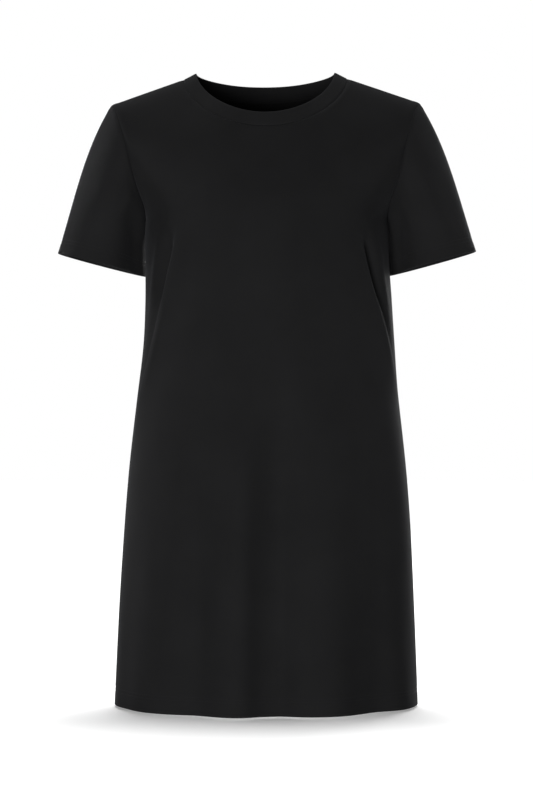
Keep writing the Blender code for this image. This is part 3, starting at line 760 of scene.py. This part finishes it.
def ramp(nodes, links, value, stops):
    """A colour between two stops, each (position, colour)."""
    tone = nodes.new("ShaderNodeValToRGB")
    for element, (position, colour) in zip(tone.color_ramp.elements, stops):
        element.position = position
        element.color = (*colour, 1)
    links.new(value, tone.inputs["Fac"])
    return tone.outputs["Color"]


def knit(name, colour, wale, relief):
    """Black jersey: fine columns of stitches, soft pile, slightly uneven dye, and painted shade
    between the stitches.
    """
    looks = {"Roughness": 0.88, "Specular IOR Level": 0.06, "Sheen Weight": 0.02,
             "Sheen Roughness": 0.45, "Sheen Tint": (0.90, 0.92, 1.0, 1)}
    material, nodes, links, shader = new_material(name, looks)

    place = nodes.new("ShaderNodeUVMap")
    place.uv_map = "cloth"
    split = nodes.new("ShaderNodeSeparateXYZ")
    links.new(place.outputs["UV"], split.inputs["Vector"])

    def maths(operation, first, second=None):
        node = nodes.new("ShaderNodeMath")
        node.operation = operation
        for socket, value in zip(node.inputs, (first, second)):
            if isinstance(value, (int, float)):
                socket.default_value = value
            elif value is not None:
                links.new(value, socket)
        return node.outputs["Value"]

    # each column of stitches is a chain of V shapes: the courses slant both ways
    column = maths("PINGPONG", maths("MULTIPLY", split.outputs["X"], 1 / wale), 0.5)
    slant = maths("ADD", maths("MULTIPLY", split.outputs["Y"], 1.25 / wale), column)
    course = maths("SINE", maths("MULTIPLY", slant, 2 * math.pi))
    ribs = maths("SINE", maths("MULTIPLY", column, math.pi))
    stitches = maths("MULTIPLY", maths("ADD", maths("MULTIPLY", course, 0.25), 0.75), ribs)

    fuzz = noise(nodes, links, 1400.0, 2.0)
    height = maths("ADD", stitches, maths("MULTIPLY", fuzz, 0.5))
    bump = nodes.new("ShaderNodeBump")
    bump.inputs["Strength"].default_value = 0.6
    bump.inputs["Distance"].default_value = relief
    links.new(height, bump.inputs["Height"])
    links.new(bump.outputs["Normal"], shader.inputs["Normal"])

    dye = noise(nodes, links, 16.0, 4.0)
    # colour: the uneven dye, plus painted shade that follows the stitches' relief, lighter on the
    # raised loops and darker between them
    dye_and_stitch_shade = maths("ADD", maths("MULTIPLY", dye, 0.8), maths("MULTIPLY", stitches, 0.2))
    dark, light = ([c * share for c in colour] for share in (0.90, 1.10))
    tone = ramp(nodes, links, dye_and_stitch_shade, ((0.30, dark), (0.72, light)))
    links.new(tone, shader.inputs["Base Color"])
    return material


# ---- sewn pieces
def row_levels():
    """Heights' shares from hem (0) to underarm (1), closer together in the hem."""
    hem_share = FINE_REACH * HEM_TURN / (UNDERARM_ROW_Z - HEM_Z)
    in_hem = np.linspace(0, hem_share, HEM_ROWS + 1)
    return np.concatenate([in_hem[:-1], np.linspace(hem_share, 1, SKIRT_ROWS + 1)])


def doubled(height, turn):
    """Extra thickness of a turned hem, at a height above its edge."""
    return HEM_DOUBLED * ease((turn + HEM_STEP / 2 - height) / HEM_STEP)


def fine_panel(piece, levels, columns):
    """A panel with its creases, seams and hem: outer points and normals."""
    points, normals = panel(piece, levels, TOP_ROWS, columns)
    u, v = arc_lengths(points, 1), arc_lengths(points, 0)
    from_side = np.minimum(u, u[:, -1:] - u)
    relief = crease_relief(piece, points)
    relief += WAVE_HEIGHT * slow_waves(u, v, WAVE_SEED[piece])
    relief *= ease(from_side / SIDE_FADE)
    relief += seam_relief(from_side)
    edge_top = v[-1:] - v
    relief += TOP_SEAM * seam_relief(edge_top) * (np.arange(len(v)) >= len(levels))[:, None]
    relief = stitched(relief, v, HEM_TURN)
    points = points + normals * relief[..., None]
    outward = 1.0 if piece == "front" else -1.0
    again = grid_normals(points, outward)
    seam = normals[..., 1] == 0
    again[seam, 1] = 0
    return points, unit(again)


def fine_sleeve(name, panels, arm_rows, column, flip):
    """A sleeve's outer points and normals, on the armhole loop of both panels."""
    front, back = (panels[p][0][arm_rows, column] for p in ("front", "back"))
    loop = np.vstack([front[::-1], back[1:-1]]) * flip
    outer = sleeve(loop, SLEEVE_ROWS)
    count = outer.shape[1]
    v = arc_lengths(outer, 0)
    turn = np.degrees(np.arange(count) / count * 2 * math.pi)[None, :] + 0 * v
    down = v / v[-1:]
    relief = seam_relief(v)
    metres = math.radians(SLEEVE_RADIUS)  # for each degree round the arm
    for start, end, width, height in SLEEVE_CREASES[name]:
        line = np.array([start, end]) * (metres, SLEEVE_LENGTH)
        here = np.stack([turn * metres, down * SLEEVE_LENGTH], axis=-1)
        distance, along = distance_to_line(here, line)
        relief += height * taper(along, *SLEEVE_CREASE_ENDS) * gauss(distance, width)
    to_hem = v[-1:] - v
    relief = stitched(relief, to_hem, SLEEVE_TURN)
    # the seam under the arm
    relief += UNDERARM_SEAM * seam_relief(np.abs(turn - 180) * metres)
    outer = outer + ring_normals(outer) * relief[..., None]
    return outer, ring_normals(outer), to_hem


def build_sleeve(name, panels, arm_rows, column, flip, material):
    """A sleeve, joined to both panels along its armhole with a shared mitre."""
    outer, normals, to_hem = fine_sleeve(name, panels, arm_rows, column, flip)
    steps = np.arange(TOP_ROWS + 1)
    count = outer.shape[1]
    meets = {
        "front": (arm_rows.stop - 1 - steps, steps),
        "back": (arm_rows.start + steps, (TOP_ROWS + steps) % count),
    }
    for piece, (rows, places) in meets.items():
        seam = panels[piece][0][rows, column] * flip
        outer[0, places] = seam
        own = panels[piece][1][rows, column] * flip
        shared = mitred(own, normals[0, places])
        panels[piece][1][rows, column] = shared * flip
        inside = steps if piece == "front" else steps[1:-1]
        normals[0, places[inside]] = shared[inside]
    thick = CLOTH + doubled(to_hem, SLEEVE_TURN)
    inner = outer - normals * thick[..., None]
    stitches = hem_stitches(outer, normals, to_hem, SLEEVE_TURN, flip)
    if flip[0] < 0:
        outer, inner = outer[:, ::-1] * flip, inner[:, ::-1] * flip
    return shell(name + "_knit", outer, inner, True, False, True, material), stitches


def hem_path(outer, normals, height, level, flip):
    """The line on a grid at one height above its hem, with the normals there."""
    path, ways = [], []
    for c in range(outer.shape[1]):
        order = np.argsort(height[:, c])
        where = height[order, c]
        path.append(read_at(level, where, outer[order, c]))
        ways.append(read_at(level, where, normals[order, c]))
    return np.array(path) * flip, np.array(ways) * flip


def hem_stitches(outer, normals, height, turn, flip):
    """The paths of both rows of stitches that hold a turned hem."""
    return [hem_path(outer, normals, height, up, flip) for up in (turn, turn - STITCH_ROWS_APART)]


def stitched(relief, height, turn):
    """The relief with a shallow ditch along both rows of a hem's stitches."""
    for up in (turn, turn - STITCH_ROWS_APART):
        relief = relief - STITCH_DITCH * gauss(height - up, STITCH_DITCH_WIDTH)
    return relief


def build_panel(name, outer, normals, material):
    """A panel, square along its seams and doubled at its hem."""
    sign = 1.0 if name == "back" else -1.0
    height = arc_lengths(outer, 0)
    thick = CLOTH + doubled(height, HEM_TURN)
    inner = outer - normals * thick[..., None]
    for points in (outer, inner):
        points[points[:, :, 1] * sign < 0, 1] = 0
    stitches = hem_stitches(outer, normals, height, HEM_TURN, np.ones(3))
    if name == "back":
        outer, inner = outer[:, ::-1], inner[:, ::-1]
    return shell(name + "_knit", outer, inner, False, True, False, material), stitches


BAND_ROWS = 18
BAND_BULGE = 0.0007  # the doubled band swells this far between seam and edge
BAND_ROLL = 0.12  # share of its width over which its edges turn in
BAND_DEEP = 0.0026  # from its seam to its inner face
BAND_THINNER = 0.0004  # its inner face comes this much nearer above the seam
BAND_SET_BACK = 0.0002  # its edges lie this far behind the panels' faces
# how far the allowance's points lie below the seam, and behind it
BAND_ALLOWANCE = ((0.0040, 0.0019), (0.0020, 0.0018), (0.0, 0.0017))


def build_neckband(front, back, material):
    """A ring of doubled cloth on the neck seam, its free edge softly folded."""
    seam = np.vstack([front, back[-2:0:-1]])
    across = np.clip(seam[:, 0] / NECK_HALF, -1, 1)
    drop = BAND_RISE + np.where(seam[:, 1] < 0, BAND_DROP["front"], BAND_DROP["back"])
    free = np.stack([
        BAND_HALF * across,
        seam[:, 1] * BAND_PULL_IN,
        BAND_RISE - drop * (1 - across ** 2) ** (NECK_CURVE / 2),
    ], axis=1)
    rise = unit(free - seam)
    ring = np.roll(seam, -1, axis=0) - np.roll(seam, 1, axis=0)
    outward = unit(np.cross(ring, rise))
    length = np.linalg.norm(free - seam, axis=1)[:, None]
    outer, inner = [], []
    # the allowance inside the seam, which hides it from within
    for down, deep in BAND_ALLOWANCE:
        outer.append(seam - rise * down - outward * deep)
        inner.append(seam - rise * down - outward * BAND_DEEP)
    for up in np.linspace(0, 1, BAND_ROWS + 1):
        swell = taper(up, BAND_ROLL, BAND_ROLL)
        bulge = BAND_BULGE * swell * (0.7 + 0.3 * math.cos(math.pi * up))
        base = seam + rise * length * up
        outer.append(base + outward * (bulge - BAND_SET_BACK))
        inner.append(base - outward * (BAND_DEEP - BAND_THINNER * ease(up / 0.5)))
    return shell("neckband_knit", np.array(outer), np.array(inner), True, False, True, material)


STITCH_LENGTH, STITCH_GAP = 0.0023, 0.0006
THREAD = 0.00020  # half its thickness
THREAD_SINK = 0.00012  # how deep it lies in the knit
THREAD_SIDES, STITCH_RINGS = 6, 5


def thread_line(lines, name, closed, material):
    """A joined mesh of short stitches laid along lines of points."""
    t = np.linspace(0, math.pi, STITCH_RINGS)
    reach, girth = -np.cos(t)[:, None], np.sin(t)[:, None] ** 0.6
    around = (np.arange(THREAD_SIDES) / THREAD_SIDES * 2 * math.pi)[:, None]
    stitches = []
    for path, ways in lines:
        if closed:
            path, ways = np.vstack([path, path[:1]]), np.vstack([ways, ways[:1]])
        run = run_along(path)
        count = int(run[-1] / (STITCH_LENGTH + STITCH_GAP))
        at = (np.arange(count) + 0.5) * run[-1] / count
        up = unit(read_at(at, run, ways))
        along = unit(read_at(at + 0.001, run, path) - read_at(at - 0.001, run, path))
        side = unit(np.cross(along, up))
        # an axis for the stitch, then one for its ring, then one for the ring's corner
        centre, along, up, side = (v[:, None] for v in (read_at(at, run, path), along, up, side))
        lift = THREAD * (0.9 * girth - 0.4) - THREAD_SINK
        middle = centre + along * reach * STITCH_LENGTH / 2 + up * lift
        out = (side * np.cos(around) + up * np.sin(around)) * THREAD
        corners = middle[:, :, None] + out[:, None] * girth[:, None]
        stitches.append(corners.reshape(-1, 3))
    vertices = np.vstack(stitches)
    ids = np.arange(len(vertices)).reshape(-1, STITCH_RINGS, THREAD_SIDES)
    a, b = ids[:, :-1], np.roll(ids, -1, axis=2)[:, :-1]
    faces = np.stack([a, b, b + THREAD_SIDES, a + THREAD_SIDES], axis=-1).reshape(-1, 4)
    return placed(name, hung(vertices), faces.tolist(), material)


def thread_material():
    """Black sewing thread, a little glossier than the knit."""
    looks = {"Roughness": 0.6, "Specular IOR Level": 0.12}
    material, nodes, links, shader = new_material("thread", looks)
    twist = noise(nodes, links, 900.0, 2.0)
    tone = ramp(nodes, links, twist, ((0, (0.008, 0.008, 0.009)), (1, (0.014, 0.014, 0.015))))
    links.new(tone, shader.inputs["Base Color"])
    return material


def dress():
    """Every sewn piece and its stitching."""
    columns = np.unique(np.round(np.concatenate([
        np.arange(0, (SIDE_COLUMN - 1) * FINER) / FINER,
        SIDE_COLUMN - np.arange(2 * FINER + 1) / (2 * FINER)]), 6))
    levels = row_levels()
    panels = {p: fine_panel(p, levels, columns) for p in ("front", "back")}
    side = len(columns) - 1
    neck_from = int(np.searchsorted(columns, NECK_COLUMN))
    neck = slice(side - neck_from, side + neck_from + 1)
    arm_rows = slice(len(levels) - 1, len(levels) + TOP_ROWS)
    necks = [panels[p][0][-1, neck].copy() for p in ("front", "back")]
    jersey, band_jersey = (knit(name, *looks) for name, looks in KNITS.items())
    thread = thread_material()
    made = {}
    for name, column, flip in (("sleeve_left", -1, np.ones(3)), ("sleeve_right", 0, FLIP)):
        made[name] = build_sleeve(name, panels, arm_rows, column, flip, jersey)
    for name, (outer, normals) in panels.items():
        made[name] = build_panel(name, outer, normals, jersey)
    return made, build_neckband(*necks, band_jersey), thread


# ---- the scene
made, band, thread = dress()
made["neckband"] = (band, [])
# Each sewn piece hides the model's part of its name and hangs, with its stitching, from the root.
for name, (piece, lines) in made.items():
    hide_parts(name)
    closed = name.startswith("sleeve")
    stitching = [thread_line(lines, name + "_stitching", closed, thread)] if lines else []
    for part in (piece, *stitching):
        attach(part, "root")

# ---- studio
EYE = (0.0, -3.2, -0.4313)
LENS_PIXELS, PICTURE_PIXELS = 2377.8, 800  # focal length and picture height
SENSOR = 36  # millimetres
# place, what it is turned to, (width, height), watts, spread in degrees; the last
# two light the sleeves alone
LAMPS = {
    "front": ((-0.55, -3.6, -1.05), (0, 0, -0.4), (1.2, 1.2), 137, 180),
    "back": ((1.8, 3.3, 0.2), (0, 0, -0.45), (1.2, 1.2), 62, 180),
    "overhead": ((0, 0.7, 1.6), (0, 0, -0.1), (1.2, 0.8), 20, 180),
    "left_side": ((-1.4, 0.65, -0.57), (-0.1, 0, -0.57), (0.3, 0.35), 0.20, 20),
    "right_side": ((1.4, 0.20, -0.50), (0.1, 0, -0.50), (0.3, 0.35), 0.06, 20),
    "left_rim": ((-1.6, 0.45, 0.45), (-0.24, 0, -0.16), (0.2, 0.3), 0.22, 22),
    "right_rim": ((1.6, 0.45, 0.45), (0.24, 0, -0.16), (0.2, 0.3), 0.10, 22),
    "left_sleeve": ((-1.8, -1.0, -0.15), (-0.23, 0, -0.15), (0.6, 0.6), 4.2, 180),
    "right_sleeve": ((1.8, -1.0, -0.15), (0.23, 0, -0.15), (0.6, 0.6), 3.6, 180),
}
FLOOR_Z = HEM_Z - 0.004
FLOOR_REACH = 9.0
FLOOR_SIDES = 96


def floor():
    """A round pale floor just under the hem, which glows a little."""
    paper = new_material("floor_paper", {
        "Roughness": 0.9, "Base Color": (0.9, 0.9, 0.9, 1),
        "Emission Color": (1, 1, 1, 1), "Emission Strength": 0.28})[0]
    turns = np.linspace(0, 2 * math.pi, FLOOR_SIDES, endpoint=False)
    rim = FLOOR_REACH * np.stack([np.cos(turns), np.sin(turns), 0 * turns], axis=1)
    disc = placed("floor", rim + (0, 0, FLOOR_Z), [tuple(range(FLOOR_SIDES))], paper)
    disc.visible_diffuse = False  # it throws no light on the cloth
    disc.visible_shadow = False  # and hides no lamp from it
    return disc


def new_lamp(name, kind, power):
    """A light of a kind and the lamp that holds it."""
    light = bpy.data.lights.new(name, kind)
    light.energy = power
    lamp = bpy.data.objects.new(name, light)
    bpy.context.collection.objects.link(lamp)
    return light, lamp


def light_only(lamp, pieces):
    """Let a lamp light these pieces and nothing else."""
    lit = bpy.data.collections.new("lit_by_" + lamp.name)
    for piece in pieces:
        lit.objects.link(piece)
    lamp.light_linking.receiver_collection = lit


disc = floor()
for name, (place, aim, size, power, spread) in LAMPS.items():
    light, lamp = new_lamp(name, "AREA", power)
    light.shape = "RECTANGLE"
    light.size, light.size_y = size
    light.spread = math.radians(spread)
    lamp.location = place
    way = Vector(aim) - Vector(place)
    lamp.rotation_euler = way.to_track_quat("-Z", "Y").to_euler()
    if name.endswith("_sleeve"):
        light_only(lamp, [made["sleeve_left"][0], made["sleeve_right"][0]])

# daylight from above, for the floor alone: it draws the shadow at the hem
light, lamp = new_lamp("above", "SUN", 2.60)
light.angle = math.radians(20)
lamp.rotation_euler = (math.radians(-10), 0, 0)
light_only(lamp, [disc])

# a white room: as bright as paper where it is seen, dimmer as a light
world = bpy.data.worlds.new("studio")
world.use_nodes = True
tree = world.node_tree
seen = tree.nodes["Background"]
dim = tree.nodes.new("ShaderNodeBackground")
for node, strength in ((seen, 1.0), (dim, 0.09)):
    node.inputs["Color"].default_value = (1, 1, 1, 1)
    node.inputs["Strength"].default_value = strength
path = tree.nodes.new("ShaderNodeLightPath")
either = tree.nodes.new("ShaderNodeMixShader")
tree.links.new(path.outputs["Is Camera Ray"], either.inputs[0])
tree.links.new(dim.outputs[0], either.inputs[1])
tree.links.new(seen.outputs[0], either.inputs[2])
tree.links.new(either.outputs[0], tree.nodes["World Output"].inputs["Surface"])
bpy.context.scene.world = world
bpy.context.scene.view_settings.view_transform = "Standard"

camera_data = bpy.data.cameras.new("camera")
camera_data.sensor_width = SENSOR
camera_data.lens = LENS_PIXELS / PICTURE_PIXELS * SENSOR
camera = bpy.data.objects.new("camera", camera_data)
camera.location = EYE
camera.rotation_euler = (math.pi / 2, 0, 0)
bpy.context.collection.objects.link(camera)
bpy.context.scene.camera = camera
